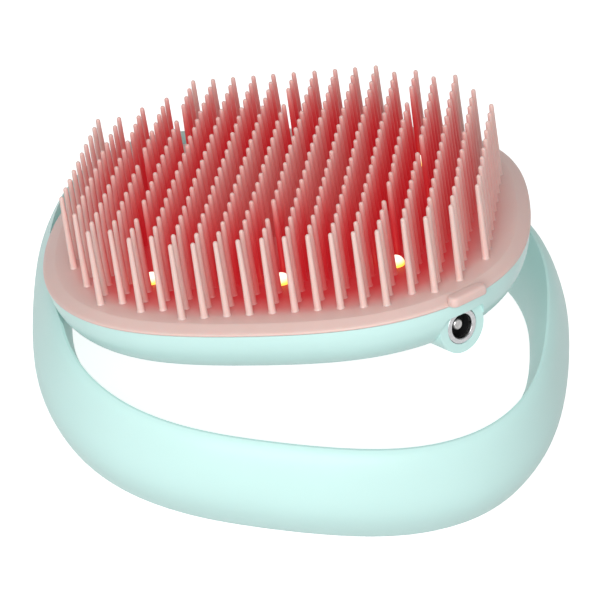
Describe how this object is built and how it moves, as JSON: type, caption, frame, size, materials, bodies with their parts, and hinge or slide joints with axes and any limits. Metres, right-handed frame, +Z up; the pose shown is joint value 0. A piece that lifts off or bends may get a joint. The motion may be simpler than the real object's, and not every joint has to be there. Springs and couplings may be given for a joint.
{
  "type": "scalp massager brush",
  "caption": "Palm-held scalp massager: oval head of slim silicone bristles with red lamps between them, pivoting on a closed curved hand strap, with a round power socket in front.",
  "frame": {"origin": "centre of the bounding box's base, on the surface the hand strap stands on", "axes": "+Z up from the strap's flat lower edge; -Y towards the power socket and the raised front of the head, +Y towards the end where the head nests in the strap; the object is symmetric about X = 0"},
  "size_m": [0.1308, 0.146, 0.0707],
  "materials": {
    "mint_strap": "smooth satin moulding",
    "mint_shell": "smooth satin moulding",
    "pink_silicone": "matt translucent silicone",
    "cover_plastic": "matt moulding",
    "gasket_rubber": "matt",
    "board_green": "solder mask",
    "lamp_resin": "clear resin",
    "black_epoxy": "moulded epoxy",
    "capacitor_can": "satin",
    "ferrite": "sintered",
    "header_plastic": "nylon",
    "bright_metal": "bright nickel plate",
    "black_insulator": "glossy",
    "red_pvc": "smooth PVC",
    "black_pvc": "smooth PVC",
    "steel": "turned",
    "bush_nylon": "nylon"
  },
  "bodies": {
    "strap": {"hand_strap": "mint_strap", "pivot_bushes": "bush_nylon"},
    "head": {"housing_shell": "mint_shell", "inner_cover": "cover_plastic", "rim_gasket": "gasket_rubber", "circuit_board": "board_green", "lamp_1": "lamp_resin", "lamp_2": "lamp_resin", "lamp_3": "lamp_resin", "lamp_4": "lamp_resin", "lamp_5": "lamp_resin", "lamp_6": "lamp_resin", "lamp_7": "lamp_resin", "lamp_8": "lamp_resin", "driver_chip": "black_epoxy", "reservoir_capacitor": "capacitor_can", "choke_coil": "ferrite", "lamp_resistors": "black_epoxy", "lead_header": "header_plastic", "socket_barrel": "bright_metal", "socket_insulator": "black_insulator", "socket_pin": "bright_metal", "socket_nut": "bright_metal", "socket_tags": "bright_metal", "negative_lead": "black_pvc", "positive_lead": "red_pvc", "board_screws": "steel", "cover_screws": "steel", "pivot_pins": "steel"},
    "pad": {"bristle_pad": "pink_silicone"}
  },
  "joints": [
    {"name": "head_tilt", "type": "hinge", "parent": "strap", "child": "head", "pos_m": [0, 0.036, 0.017], "axis": [-1, 0, 0], "range_deg": [-5, 10]},
    {"name": "pad_lift", "type": "slide", "parent": "head", "child": "pad", "axis": [0, 0.279, 0.9603], "range_m": [0, 0.005]}
  ]
}
